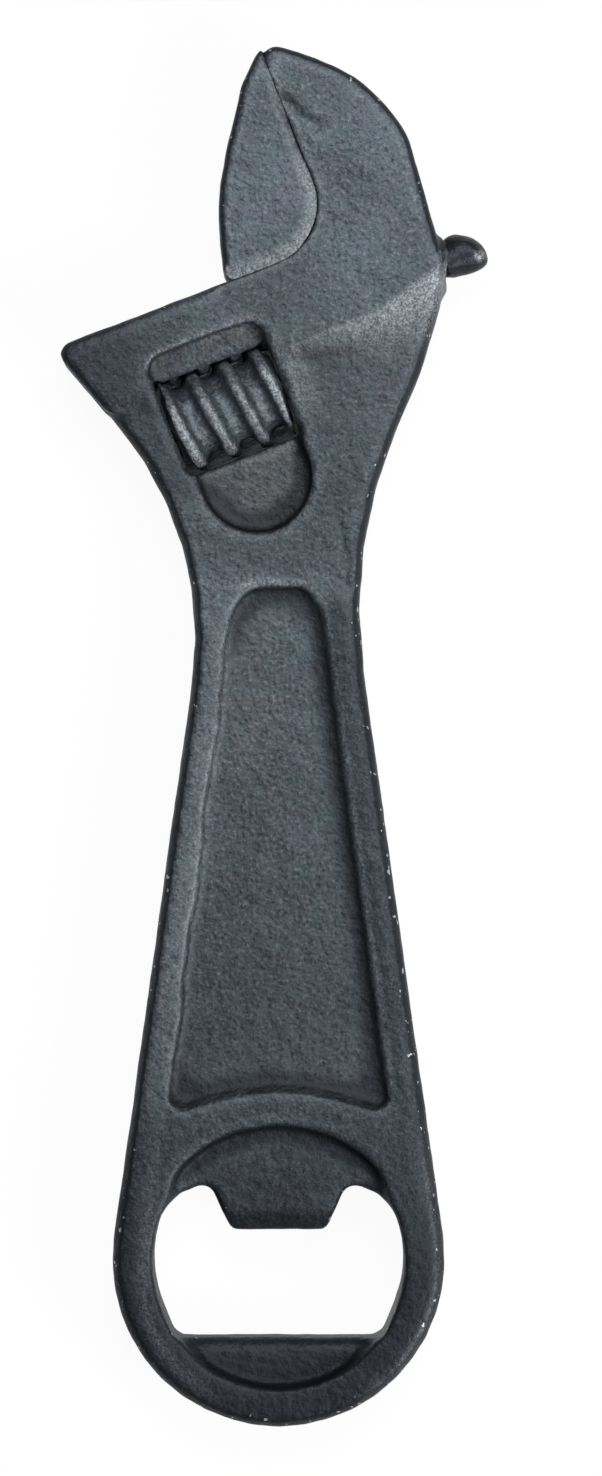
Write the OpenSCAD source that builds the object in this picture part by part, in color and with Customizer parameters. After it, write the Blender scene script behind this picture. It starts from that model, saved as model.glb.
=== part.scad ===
// Adjustable wrench whose handle ends in a bottle opener.
// It lies on its back: X runs across, Y along the handle towards the jaws and Z up from the table.
// Sizes are in millimetres. The jaws are drawn closed.

/* [Opener ring] */
// Outer radius of the round end of the handle
ring_r = 21.7; // [20.5:0.1:23]
// Radius of the dish sunk into both faces of the ring
dish_r = 17; // [16.8:0.1:17.4]
// Depth of the dish below each face
dish_depth = 2.1; // [1.5:0.1:2.6]
// Radius of the two rounded sides of the mouth
mouth_r = 16.4; // [16:0.1:16.7]
// Distance from the ring's centre down to the fulcrum edge
fulcrum_drop = 10.2; // [9.5:0.1:10.8]
// Distance from the ring's centre up to the edge of the lifting tooth
tooth_rise = 3.8; // [3.2:0.1:4.4]
// Width of the lifting tooth at its edge
tooth_w = 12.4; // [11.6:0.1:13]
// Thickness left at the edge of the lifting tooth
tooth_edge_t = 3.2; // [2.4:0.1:4]

/* [Handle] */
// Distance along the handle from the ring's centre to the corner between the jaws
head_reach = 133; // [126:0.5:142]
// Sideways distance of that corner from the handle's middle line
head_offset = 7.4; // [6.8:0.1:8]
// Lean of each long side of the handle, in degrees
side_lean = 8; // [7.6:0.1:8.4]
// Radius of the waist on the side of the sliding jaw
chin_waist_r = 43; // [38:1:47]
// Radius of the waist on the side of the fixed jaw
tail_waist_r = 60; // [52:1:68]
// Step from the faces of the head down to the faces of the neck and handle
plate_step = 1.2; // [0.8:0.1:1.6]
// Radius on the outer edges of the handle and ring
handle_edge_r = 1.6; // [1:0.1:2]

/* [Handle panel] */
// Width of the rim beside the sunk panel, at the middle of the handle
rim_w = 4.5; // [4:0.1:5.2]
// Lean of each side of the panel, in degrees
panel_lean = 7; // [6.5:0.1:7.5]
// Width of the band between the panel and the dish
band_w = 5.4; // [4.8:0.1:6]
// Depth of the panel below each face
panel_depth = 1.5; // [1:0.1:2]
// Length of the panel from its top edge to the crown of its foot
panel_len = 65; // [61:0.5:67]

/* [Head and jaws] */
// Tilt of the shoulder that the jaw slides along, in degrees
jaw_angle = 21; // [20:0.5:22]
// Height of both jaws above the shoulder
jaw_h = 26.1; // [24.5:0.1:27.5]
// Thickness of the fixed jaw at its root
fixed_jaw_w = 12.9; // [12.3:0.1:13.5]
// Length of the sliding jaw along the shoulder
sliding_jaw_w = 15.5; // [15:0.1:16]
// Radius of the corner between the fixed jaw and the shoulder
throat_r = 8; // [7:0.1:8.5]
// Length of the shoulder from the fixed jaw to its outer corner
shoulder_len = 39.5; // [39:0.1:41]
// Lean of the flank below that corner, in degrees
chin_lean = 19.3; // [18.5:0.1:20]
// Radius on the outer edges of the head and the sliding jaw
head_edge_r = 1; // [0.7:0.05:1.05]
// Furthest opening of the jaws
jaw_travel = 20; // [16:0.5:20]

/* [Rail and worm] */
// Radius of the round rail that carries the sliding jaw
rail_r = 2.95; // [2.8:0.05:3.1]
// Depth of the rail's middle line below the shoulder
rail_drop = 7.65; // [7.4:0.05:8]
// Length of the rail's end outside the body when the jaws are closed
tail_len = 5.6; // [5:0.1:6.5]
// Outer radius of the worm
worm_r = 6.6; // [6.4:0.05:6.8]
// Length of the worm
worm_len = 15.6; // [15.2:0.1:16]
// Distance between the turns of the worm's thread
pitch = 4.4; // [4.2:0.05:4.6]
// Height of the worm's thread
thread_h = 1.75; // [1.6:0.05:1.9]
// Radius of the pin that the worm turns on
pin_r = 1.75; // [1.6:0.05:1.9]
// Radius of the wire of the worm's spring
wire_r = 0.3; // [0.25:0.01:0.32]
// Width of the thumb recess below the worm
recess_w = 14.4; // [12.5:0.1:15]
// Length of the thumb recess from the worm's middle line to the centre of its round end
recess_len = 10; // [9:0.1:11]
// Depth of the thumb recess below the neck's front face
recess_depth = 2.4; // [1.8:0.1:2.6]

/* [Fits] */
// Gap around the rail in its bore
rail_fit = 0.1; // [0.06:0.01:0.15]
// Gap around the pin in the worm
pin_fit = 0.06; // [0.03:0.01:0.1]
// Gap around the pin in the body
pin_seat = 0.02; // [0:0.01:0.05]
// Gap between the sliding jaw and what it slides on or closes against
jaw_fit = 0.12; // [0.08:0.01:0.2]
// Gap between the worm and the pocket around it
worm_clear = 0.25; // [0.2:0.05:0.4]
// Gap at each end of the worm
end_fit = 0.15; // [0.1:0.05:0.25]
// Gap on each flank between the thread and the rail's teeth
backlash = 0.2; // [0.15:0.01:0.25]

/* [Hidden] */
$fn = 64;
// Distance by which a cut runs past the face that it opens
past = 1;
// Degrees of arc for each flat of a rounded outline
arc_step = 9;
// Flats on each rounded edge
edge_flats = 3;
// Smallest corner radius on an inner ring of a rounded edge
least_r = 0.15;
// Width of the sloped walls of the panel and the dish, and how far they flare above the face
panel_wall = 1.8;
dish_wall = 1.6;
hollow_flare = 0.3;

// The worm stays this far below the head's faces, so that the part rests flat
worm_sunk = 0.2;
plate_h = worm_r + worm_sunk;
neck_h = plate_h - plate_step;
dish_h = neck_h - dish_depth;
panel_h = neck_h - panel_depth;
jaw_sunk = 0.05;
jaw_plate_h = plate_h - jaw_sunk;
// The head stands this far proud of the neck's flanks
plate_lip = 0.12;

// Worm and rail. The thread's crest and foot are shares of its pitch
root_r = worm_r - thread_h;
tip_clear = 0.35;
// The rail is flat along its rack, and the tips of the teeth lie in that flat
rack_flat = 0.7;
rack_face = rail_r - rack_flat;
worm_drop = rail_drop + rack_face + tip_clear + root_r;
crest_w = 0.3 * pitch;
base_w = 0.62 * pitch;
flank_at_pin = worm_drop * tan(chin_lean) - shoulder_len;
worm_inset = 5.4;
worm_left = flank_at_pin + worm_inset;
worm_x = worm_left + worm_len / 2;
// A quarter turn of the thread sets a whole ridge at each end of the window
thread_shift = pitch / 4;
recess_shift = 0.35;
pocket_len = worm_len + 2 * end_fit;
pocket_r = worm_r + worm_clear;
// Window in the back of the pocket, as half its width and its distance from each end
back_window_h = 4;
back_window_in = 1;
hub_len = 0.4;
thread_sunk = 0.4;
lead_angle = atan(pitch / (2 * PI * (root_r + worm_r) / 2));
rack_inset = 2;
rack_start = worm_left + rack_inset;
tooth_tip_clear = 0.3;
rack_end = worm_x + worm_len / 2 + jaw_travel + pitch;

// Web that joins the sliding jaw to its rail, as half its thickness and its two ends
web_h = 1.8;
web_sunk = 3;
web_inset = 1.2;
web_left = web_inset - sliding_jaw_w;
web_right = -throat_r - web_inset / 2;

// Boss around the rail where it leaves the body, and how far it stands out
boss_len = 2.4;
boss_out = 0.8;
boss_wall = 1.4;
boss_end_wall = 0.5;

// The rail's outer end is domed, with its tip below the middle line
dome_drop = 1.2;
dome_spare = 0.05;
dome_r = rail_r + dome_drop + dome_spare;

// Heights below the shoulder that shape the head
plate_skirt = 0.1;
plate_foot = rail_drop + rail_r + plate_skirt;
ledge_rise = 1.6;
ledge_top = rail_drop - ledge_rise;
ledge_sunk = 1.4;
neck_root = 5.5;

// Pin
pin_head_lip = 0.7;
pin_head_r = pin_r + pin_head_lip;
pin_head_len = 3;
pin_sunk = 0.3;
pin_start = flank_at_pin + pin_head_r * tan(chin_lean) + pin_sunk;
pin_grip = 5.5;
pin_end = worm_x + worm_len / 2 + pin_grip;
pin_end_room = 0.3;
slot_w = 0.8;
slot_depth = 1;

// Spring
coils = 4;
coil_pitch = 1.1;
coil_clear = 0.15;
cup_clear = 0.25;
spring_clear = 0.05;
coil_r = pin_r + wire_r + coil_clear;
cup_r = coil_r + wire_r + cup_clear;
cup_depth = coils * coil_pitch + 2 * wire_r;

// The corner between the jaws, seen from the ring's centre
corner = [head_offset, head_reach];

// Unit vectors along a heading and to the left of it
function ahead(a) = [cos(a), sin(a)];
function aside(a) = [-sin(a), cos(a)];

// A point of the head's own frame, in which X runs along the shoulder from the corner
function from_head(p) = corner + p.x * ahead(jaw_angle) + p.y * aside(jaw_angle);

// The turn from one heading to the next, between -180 and 180 degrees
function turn(a, b) = (b - a + 540) % 360 - 180;

// The point where two lines cross
function crossing(p, a, q, b) = p + ahead(a) * cross(q - p, ahead(b)) / cross(ahead(a), ahead(b));

// The arc between two lines that are moved inwards by d
function arc(line, next, d) = let (
        a = line[1],
        bend = turn(a, next[1]),
        side = sign(bend),
        r = max(line[2] - side * d, least_r),
        tip = crossing(line[0] + aside(a) * d, a, next[0] + aside(next[1]) * d, next[1]),
        hub = tip - ahead(a) * r * tan(abs(bend) / 2) + aside(a) * side * r,
        flats = max(2, ceil(abs(bend) / arc_step))
    ) [for (i = [0:flats]) hub - aside(a + bend * i / flats) * side * r];

// A closed outline from lines of [point, heading, corner radius at the line's end], anticlockwise
function outline(lines, d = 0) = let (
        n = len(lines),
        points = [for (i = [0:n - 1]) each arc(lines[i], lines[(i + 1) % n], d)],
        m = len(points)
    ) [for (i = [0:m - 1]) if (norm(points[i] - points[(i + 1) % m]) > 1e-6) points[i]];

// Height and inset of each ring of a plate with rounded edges
function rounded_edges(h, r) = let (
        step = 90 / edge_flats,
        upper = [for (i = [edge_flats:-1:0]) [h - r + r * cos(step * i), r - r * sin(step * i)]],
        last = len(upper) - 1
    ) concat([for (i = [last:-1:0]) [-upper[i][0], upper[i][1]]], upper);

// The same for a plate that reaches only from the back face to the middle
function back_edge(h, r) = let (
        rings = [for (l = rounded_edges(h, r)) if (l[0] < 0) l]
    ) concat(rings, [[0, 0]]);

// Height and inset of each ring of a hollow whose wall bends smoothly from floor to face
function hollow_wall(floor_h, face_h, run) = let (
        flats = 6,
        rise = (face_h - floor_h) * 1.04 / 2
    ) concat(
        [for (i = [0:flats]) [floor_h + rise * (1 - cos(180 * i / flats)), run * (1 - i / flats)]],
        [[face_h + past, -hollow_flare]]
    );

// Solid between rings of points, closed at each end by a fan around a centre
module loft(rings, first, last) {
    n = len(rings[0]);
    m = len(rings);
    skin = [
        for (j = [0:m - 2])
        for (i = [0:n - 1])
        let (k = (i + 1) % n)
        each [[j * n + i, (j + 1) * n + i, (j + 1) * n + k], [j * n + i, (j + 1) * n + k, j * n + k]]
    ];
    ends = [
        for (i = [0:n - 1])
        let (k = (i + 1) % n)
        each [[m * n, i, k], [m * n + 1, (m - 1) * n + k, (m - 1) * n + i]]
    ];
    polyhedron([for (r = rings) each r, first, last], concat(skin, ends), convexity = 8);
}

// Plate or hollow between the levels given as [height, inset] of one outline
module levels_of(lines, seen_from, levels) {
    widest = outline(lines, max([for (l = levels) l[1]]));
    areas = [
        for (i = [0:len(widest) - 1])
        cross(widest[i] - seen_from, widest[(i + 1) % len(widest)] - seen_from)
    ];
    assert(min(areas) > 0, "the whole outline has to be in sight of its centre");
    top = levels[len(levels) - 1][0];
    loft(
        [for (l = levels) [for (p = outline(lines, l[1])) [p.x, p.y, l[0]]]],
        [seen_from.x, seen_from.y, levels[0][0]],
        [seen_from.x, seen_from.y, top]
    );
}

// Outlines

// Neck, handle and ring, seen from the ring's centre
neck_in = 9;
neck_drop = 20.4;
neck_r = 24;
cheek_in = 0.9;
cheek_drop = 9.9;
cheek_r = 3;
root_corner_r = 1;
handle_eye = [-21, -38];
handle_lines = [
    [ring_r * ahead(side_lean), 90 + side_lean, tail_waist_r],
    [from_head([fixed_jaw_w - neck_in, -neck_drop]), jaw_angle + 45.4, neck_r],
    [from_head([fixed_jaw_w - cheek_in, -cheek_drop]), jaw_angle + 52.7, cheek_r],
    [from_head([fixed_jaw_w - plate_lip, 0]), jaw_angle + 85, root_corner_r],
    [from_head([0, -neck_root]), jaw_angle + 180, root_corner_r],
    [from_head([plate_lip - shoulder_len, 0]), jaw_angle + 270 + chin_lean, chin_waist_r],
    [ring_r * ahead(180 - side_lean), 270 - side_lean, ring_r],
    [[0, -ring_r], 0, ring_r]
];

// Head with the fixed jaw, in the head's own frame
back_r = 9;
brow_in = 0.7;
brow_r = 22;
peak_drop = 0.8;
peak_r = 1.4;
tip_r = 0.3;
shoulder_r = 1.6;
foot_bend_r = 15;
foot_in = 1.7;
foot_rise = 2.3;
foot_end_r = 2;
head_eye = [0.23 * fixed_jaw_w, -0.37 * plate_foot];
head_lines = [
    [[fixed_jaw_w, 0], 85, back_r],
    [[fixed_jaw_w - brow_in, 0.555 * jaw_h], 122, brow_r],
    [[0.256 * fixed_jaw_w, jaw_h - peak_drop], 143, peak_r],
    [[0, jaw_h], 196, tip_r],
    [[0, 0], 270, throat_r],
    [[0, 0], 180, shoulder_r],
    [[-shoulder_len, 0], 270 + chin_lean, shoulder_r],
    [[0, -plate_foot], 0, foot_bend_r],
    [[fixed_jaw_w - foot_in, foot_rise - plate_foot], 14, foot_end_r]
];

// On the back the head's face runs on below the worm, and walls in its pocket
bed_wall = 2;
bed_in = 0.5;
bed_lap = 2;
bed_r = 2;
bed_right = worm_x + pocket_len / 2 + bed_wall;
bed_foot = worm_drop + pocket_r + bed_wall;
bed_eye = [worm_x, -worm_drop];
bed_lines = [
    [[bed_right, 0], 90, bed_r],
    [[0, bed_lap - plate_foot], 180, bed_r],
    [[bed_in - shoulder_len, 0], 270 + chin_lean, bed_r],
    [[0, -bed_foot], 0, bed_r]
];

// Sliding jaw, in the head's own frame
jaw_brow_r = 6;
jaw_back_r = 34;
jaw_heel_r = 1.2;
jaw_eye = [-0.32 * sliding_jaw_w, 0.34 * jaw_h];
jaw_lines = [
    [[-jaw_fit, 0], 90, tip_r],
    [[0, jaw_h], 212, jaw_brow_r],
    [[-0.361 * sliding_jaw_w, 0.808 * jaw_h], 236, jaw_back_r],
    [[-sliding_jaw_w, 0], 255, jaw_heel_r],
    [[0, jaw_fit], 0, throat_r]
];

// Panel in the handle, seen from the ring's centre
panel_foot = dish_r + band_w;
panel_mid = panel_foot + panel_len / 2;
panel_half = ring_r / cos(side_lean) - panel_mid * tan(side_lean) - rim_w;
panel_top_r = 0.79 * (panel_half - panel_len / 2 * tan(panel_lean));
panel_foot_r = 1.2;
arch_r = 3.2 * panel_half;
arch_slope = 18;
arch_at = panel_foot + arch_r / cos(arch_slope) - arch_r;
panel_lines = [
    [[panel_half, panel_mid], 90 + panel_lean, panel_top_r],
    [[0, panel_foot + panel_len], 180, panel_top_r],
    [[-panel_half, panel_mid], 270 - panel_lean, panel_foot_r],
    [[0, arch_at], arch_slope, arch_r],
    [[0, arch_at], -arch_slope, panel_foot_r]
];

// Mouth of the opener, seen from the ring's centre
fulcrum_r = 1;
flank_slope = 66;
tooth_r = 1.2;
notch_r = 1.8;
roof_slope = 24;
roof_r = 6.4;
roof_out = 11.8;
roof_rise = 5.3;
roof_at = [roof_out, tooth_rise + roof_rise];
mouth_lines = [
    [[0, -fulcrum_drop], 0, fulcrum_r],
    [mouth_r * ahead(-22), 68, mouth_r],
    [mouth_r * ahead(18), 108, roof_r],
    [roof_at, 180 - roof_slope, notch_r],
    [[tooth_w / 2, tooth_rise], 180 + flank_slope, tooth_r],
    [[0, tooth_rise], 180, tooth_r],
    [[-tooth_w / 2, tooth_rise], 180 - flank_slope, notch_r],
    [[-roof_at.x, roof_at.y], 180 + roof_slope, roof_r],
    [mouth_r * ahead(162), 252, mouth_r],
    [mouth_r * ahead(202), 292, fulcrum_r]
];

// Middle of the closed wrench, which becomes the origin
rail_tip = fixed_jaw_w - brow_in + tail_len;
head_points = [for (p = concat(outline(head_lines), outline(jaw_lines))) from_head(p)];
tail_reach = from_head([rail_tip - dome_r, -rail_drop - dome_drop]).x + dome_r;
left_reach = min([for (p = concat(head_points, outline(handle_lines))) p.x]);
top_reach = max([for (p = head_points) p.y]);
middle = [(left_reach + tail_reach) / 2, (top_reach - ring_r) / 2];

echo(length = top_reach + ring_r, width = tail_reach - left_reach, thickness = 2 * plate_h);
echo(head_corner = corner - middle, worm_at = from_head([worm_x, -worm_drop]) - middle);

// Frames

module on_table() {
    translate([-middle.x, -middle.y, plate_h])
        children();
}

module in_head() {
    on_table()
        translate([corner.x, corner.y, 0])
            rotate(jaw_angle)
                children();
}

// A cylinder along the head's X
module along(x, y, r, len) {
    translate([x, y, 0])
        rotate([0, 90, 0])
            cylinder(r = r, h = len);
}

// Both faces of the part
module both_faces() {
    children();
    mirror([0, 0, 1])
        children();
}

// Pieces

module casting() {
    on_table()
        levels_of(handle_lines, from_head(handle_eye), rounded_edges(neck_h, handle_edge_r));
    in_head() {
        levels_of(head_lines, head_eye, rounded_edges(plate_h, head_edge_r));
        levels_of(bed_lines, bed_eye, back_edge(plate_h, head_edge_r));
        translate([fixed_jaw_w - boss_len, -rail_drop, 0])
            rotate([0, 90, 0])
                cylinder(r1 = rail_r + boss_wall, r2 = rail_r + boss_end_wall, h = boss_len + boss_out);
    }
}

module panel() {
    levels_of(panel_lines, [0, panel_mid], hollow_wall(panel_h, neck_h, panel_wall));
}

module dish() {
    wall = hollow_wall(dish_h, neck_h, dish_wall);
    edge = [for (w = wall) [dish_r - w[1], w[0]]];
    rotate_extrude()
        polygon(concat([[0, dish_h]], edge, [[0, neck_h + past]]));
}

module mouth() {
    linear_extrude(height = 2 * plate_h, center = true)
        polygon(outline(mouth_lines));
}

// Bevels that thin the tooth and break the fulcrum edge
tooth_run = 2.7;
fulcrum_bevel = 1.1;
module opener_bevels() {
    rise = dish_h - tooth_edge_t / 2;
    rotate([90, 0, 90])
        linear_extrude(height = 1.4 * tooth_w, center = true)
            polygon([
                [tooth_rise - past, tooth_edge_t / 2 - past * rise / tooth_run],
                [tooth_rise + tooth_run, dish_h],
                [tooth_rise + tooth_run, dish_h + past],
                [tooth_rise - past, dish_h + past]
            ]);
    rotate([90, 0, 90])
        linear_extrude(height = 1.5 * mouth_r, center = true)
            polygon([
                [-fulcrum_drop - fulcrum_bevel - past, dish_h + past],
                [past - fulcrum_drop, dish_h - fulcrum_bevel - past],
                [past - fulcrum_drop, dish_h + past]
            ]);
}

module rail_channel() {
    bore = rail_r + rail_fit;
    far = shoulder_len + past;
    along(-far, -rail_drop, bore, far + rail_tip + past);
    slot_h = web_h + jaw_fit;
    translate([-far, -rail_drop, -slot_h])
        cube([far + web_right + jaw_fit, rail_drop + past, 2 * slot_h]);
}

module worm_pocket() {
    left = worm_x - pocket_len / 2;
    along(left, -worm_drop, pocket_r, pocket_len);
    translate([left, -worm_drop - pocket_r, 0])
        cube([pocket_len, 2 * pocket_r, plate_h + past]);
    translate([left + back_window_in, -worm_drop - back_window_h, -plate_h - past])
        cube([pocket_len - 2 * back_window_in, 2 * back_window_h, plate_h + past]);
    translate([left, pocket_r - worm_drop - past, plate_h - ledge_sunk])
        cube([pocket_len, worm_drop - pocket_r - ledge_top + past, ledge_sunk + past]);
    translate([worm_x + recess_shift, -worm_drop - recess_len, neck_h - recess_depth]) {
        cylinder(d = recess_w, h = plate_h);
        translate([-recess_w / 2, 0, 0])
            cube([recess_w, recess_len, plate_h]);
    }
}

module pin_hole() {
    outside = flank_at_pin - 2 * pin_head_r;
    along(outside, -worm_drop, pin_head_r + pin_seat, pin_start + pin_head_len - outside);
    along(pin_start, -worm_drop, pin_r + pin_seat, pin_end - pin_start + pin_end_room);
}

module body() {
    color([0.19, 0.21, 0.24])
        difference() {
            casting();
            on_table()
                both_faces() {
                    panel();
                    dish();
                    opener_bevels();
                }
            on_table()
                mouth();
            in_head() {
                rail_channel();
                worm_pocket();
                pin_hole();
            }
        }
}

// The space between two teeth of the rail
module tooth_gap() {
    foot = worm_r + tooth_tip_clear - worm_drop;
    mouth_y = -rail_drop - rail_r - past;
    slope = (base_w - crest_w) / thread_h / 2;
    narrow = crest_w / 2 + backlash;
    wide = narrow + (foot - mouth_y) * slope;
    rotate([0, lead_angle, 0])
        linear_extrude(height = 4 * rail_r, center = true)
            polygon([[-narrow, foot], [-wide, mouth_y], [wide, mouth_y], [narrow, foot]]);
}

module sliding_jaw() {
    color([0.21, 0.23, 0.26])
        in_head() {
            levels_of(jaw_lines, jaw_eye, rounded_edges(jaw_plate_h, head_edge_r));
            translate([web_left, -rail_drop, -web_h])
                cube([web_right - web_left, rail_drop + web_sunk, 2 * web_h]);
            difference() {
                union() {
                    along(rack_start, -rail_drop, rail_r, rail_tip - dome_r - rack_start);
                    intersection() {
                        along(rail_tip - dome_r - past, -rail_drop, rail_r, dome_r + 2 * past);
                        translate([rail_tip - dome_r, -rail_drop - dome_drop, 0])
                            sphere(r = dome_r);
                    }
                }
                translate([rack_start - past, -rail_drop - 2 * rail_r, -rail_r - past])
                    cube([rack_end - rack_start + past, 2 * rail_r - rack_face, 2 * (rail_r + past)]);
                for (x = [worm_x + thread_shift - 2 * pitch:pitch:rack_end])
                    translate([x, 0, 0])
                        tooth_gap();
            }
        }
}

// One turn after another of the worm's right-hand thread, along the head's X
module thread() {
    steps = 24;
    // With an even number of turns the ridges stand where the rail's gaps are
    turns = 2 * ceil(worm_len / pitch / 2) + 2;
    sunk = root_r - thread_sunk;
    sunk_w = base_w + (base_w - crest_w) / thread_h * thread_sunk;
    ridge = [[sunk, sunk_w / 2], [worm_r, crest_w / 2], [worm_r, -crest_w / 2], [sunk, -sunk_w / 2]];
    rings = [
        for (i = [0:steps * turns])
        let (a = 360 * i / steps, x = thread_shift + pitch * (i / steps - turns / 2))
        [for (p = ridge) [x + p[1], p[0] * cos(a), p[0] * sin(a)]]
    ];
    last = len(rings) - 1;
    loft(rings, (rings[0][0] + rings[0][2]) / 2, (rings[last][0] + rings[last][2]) / 2);
}

module worm() {
    color([0.24, 0.26, 0.29])
        in_head()
            difference() {
                union() {
                    along(worm_left, -worm_drop, root_r, worm_len);
                    translate([worm_x, -worm_drop, 0])
                        intersection() {
                            thread();
                            cube([worm_len - 2 * hub_len, 4 * worm_r, 4 * worm_r], center = true);
                        }
                }
                along(worm_left - past, -worm_drop, pin_r + pin_fit, worm_len + 2 * past);
                along(worm_left + worm_len - cup_depth, -worm_drop, cup_r, cup_depth + past);
            }
}

module worm_pin() {
    color([0.4, 0.4, 0.42])
        in_head()
            difference() {
                union() {
                    along(pin_start, -worm_drop, pin_r, pin_end - pin_start);
                    along(pin_start, -worm_drop, pin_head_r, pin_head_len);
                }
                translate([pin_start - past, -worm_drop - 2 * pin_head_r, -slot_w / 2])
                    cube([slot_depth + past, 4 * pin_head_r, slot_w]);
            }
}

module worm_spring() {
    steps = 12;
    start = worm_left + worm_len - cup_depth + wire_r + spring_clear;
    rise = (cup_depth - 2 * wire_r) / coils / steps;
    flats = 6;
    points = [
        for (i = [0:steps * coils])
        let (a = 360 * i / steps)
        [start + rise * i, coil_r * cos(a), coil_r * sin(a)]
    ];
    from_turn_to_turn = [for (i = [0:steps * (coils - 1)]) norm(points[i + steps] - points[i])];
    echo(spring_gap = min(from_turn_to_turn) - 2 * wire_r);
    rings = [
        for (i = [0:steps * coils])
        let (a = 360 * i / steps, out = [0, cos(a), sin(a)])
        [
            for (k = [flats - 1:-1:0])
            let (b = 360 * k / flats)
            points[i] + wire_r * (cos(b) * out + sin(b) * [1, 0, 0])
        ]
    ];
    color([0.55, 0.55, 0.56])
        in_head()
            translate([0, -worm_drop, 0])
                loft(rings, points[0], points[steps * coils]);
}

body();
sliding_jaw();
worm();
worm_pin();
worm_spring();
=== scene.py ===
"""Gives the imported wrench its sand-cast iron skin and sets it on a white table."""

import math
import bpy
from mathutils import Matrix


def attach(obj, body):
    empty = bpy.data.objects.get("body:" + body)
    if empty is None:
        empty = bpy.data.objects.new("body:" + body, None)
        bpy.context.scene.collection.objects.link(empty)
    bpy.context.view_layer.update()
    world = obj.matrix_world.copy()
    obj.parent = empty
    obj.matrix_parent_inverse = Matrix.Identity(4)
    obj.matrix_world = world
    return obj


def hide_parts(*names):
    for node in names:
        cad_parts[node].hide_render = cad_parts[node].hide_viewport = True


bl_info = {
    "name": "Cast Wrench Opener",
    "version": (1, 0, 0),
    "blender": (4, 5, 0),
    "location": "View3D > Sidebar > Wrench",
    "description": "Builds a cast-iron wrench bottle opener around its packed frame",
    "category": "Object",
}

import bpy
import numpy as np
from bpy.props import FloatProperty, FloatVectorProperty, IntProperty, PointerProperty
from mathutils import Vector

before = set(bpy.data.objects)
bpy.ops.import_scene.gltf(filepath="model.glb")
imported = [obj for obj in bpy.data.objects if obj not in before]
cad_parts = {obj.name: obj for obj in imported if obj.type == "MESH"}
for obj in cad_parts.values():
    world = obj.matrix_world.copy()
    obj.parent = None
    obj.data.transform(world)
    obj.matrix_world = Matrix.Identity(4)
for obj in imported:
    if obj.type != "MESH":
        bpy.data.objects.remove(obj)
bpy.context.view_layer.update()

MM = 0.001
TINY = 1e-6
MERGE_DISTANCE = 1e-6
WEIGHT_STEPS = 16

# Places and sizes of the solids, in millimetres. The head has its own axes: along
# the shoulder from the corner between the jaws, and up from the shoulder.
JAW_ANGLE = math.radians(21)
CORNER = (7.864, 64.728)
RING = (0.464, -68.272)
RING_R = 21.7
SIDE_LEAN = math.radians(8)
NECK_Y = 20.0
HEAD_MIDDLE = (8.0, 62.0)
RIM_W = 3.5
EDGE_R = 1.0
THROAT_R = 8.0
JAW_FIT = 0.12
JAW_SUNK = 0.05
RAIL_DROP = 7.65
RAIL_BORE = 3.05
SLOT_HALF = 1.92
SLOT_END = -8.5
WORM_DROP = 15.1
WORM_MID = -21.0
WORM_HALF = 7.95
LEDGE_TOP = 6.05
LEDGE_FOOT = 8.3
PIN_BORE = 1.77
PLATE_FOOT = 10.75
FOOT_BEND = 2.0
FOOT_SLOPE = math.tan(math.radians(14))

# The middle plane, and the heights of the faces over it
MID_Z = 6.8
HEAD_H = 6.8
JAW_H = HEAD_H - JAW_SUNK
NECK_H = 5.6
PANEL_H = 4.1
DISH_H = 3.5

# Room that is left when points are picked by the height of a face
SLACK = 0.05

# Directions in the head's axes; BACK points out of the fixed jaw's back
ALONG = np.array((1.0, 0.0))
UP = np.array((0.0, 1.0))
BACK = np.array((0.81, 0.58))

# Sizes of the casting's soft forms, in millimetres
PANEL_OUT = 0.9
PANEL_STEEPER = 0.8
DISH_OUT = 1.1
DISH_LOW_OUT = 0.05
DISH_STEEPER = 0.6
SLOPE_RUN = 1.2
SLOPE_WIDER = 6.0
SEAM_DIP = 0.35
SEAM_SLOPE = 1.8
LIP = 0.28
TIP_RISE = 0.75
TIP_CLOSE = 0.12
BACK_FULLER = 0.45
BACK_FLATTER = 0.3
BOSS_START = 11.0
BOSS_GROOVE = 0.4
END_CLOSE = 0.1
SLOT_RELIEF = 0.4
LEDGE_ARCH = 0.45
LEDGE_R = 1.6
LEDGE_OUT = 1.1
LEDGE_FALL = 0.6
RIM_CROWN = 0.26
EDGE_CROWN = 0.45
CROWN_W = 3.2
RAIL_THINNER = 0.8
RAIL_SWELL = 0.3
RAIL_ROUND = 0.45
RAIL_LONGER = 0.35

# Shares: how far the panel's upper corners are held back, of the seam's dip on its upper
# stretch, of a rim's width that falls to the panel, and of the boss's length that is drawn in
HELD_LEFT = 0.2
HELD_RIGHT = 0.55
NARROW_DIP = 0.8
RIM_FALL = 0.65
BOSS_TAPER = 0.7

# Ranges over which a form grows or dies away, in millimetres
SLOPE_WIDENS = (-16, 8)
UPPER_SEAM = (9, 13)
SEAM_WIDTH = (0.5, 1.4)
SEAM_TIP = (21, 24)
RIM_INNER_EDGE = (-4.2, -3.2)

# Creases beside the seam and veins on the neck: corners in the head's axes, width and depth
CREASES = (
    (((0.2, 19.8), (1.3, 17.4), (1.9, 15.9), (3.4, 14.2)), 0.55, 0.42),
    (((7.4, 19.6), (6.0, 18.2), (5.4, 16.6), (5.5, 15.4)), 0.7, 0.14),
    (((-15.6, -41.2), (-13.0, -45.2), (-12.9, -48.6), (-13.3, -53.5)), 0.4, 0.4),
    (((-12.6, -33.5), (-13.2, -36.6), (-13.5, -39.8), (-15.0, -42.9)), 0.4, 0.35),
)

# Waves of the panel's left wall: height, turn for each millimetre, and start
LEFT_WALL_WAVES = ((0.22, 0.31, 1.0), (0.09, 0.83, 0.0))

# Sizes of the sand mould's wide and narrow lumps, in metres
LUMP_SIZES = (0.0042, 0.0017)
WORM_LUMP_SIZES = (0.0026, 0.0012)

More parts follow.
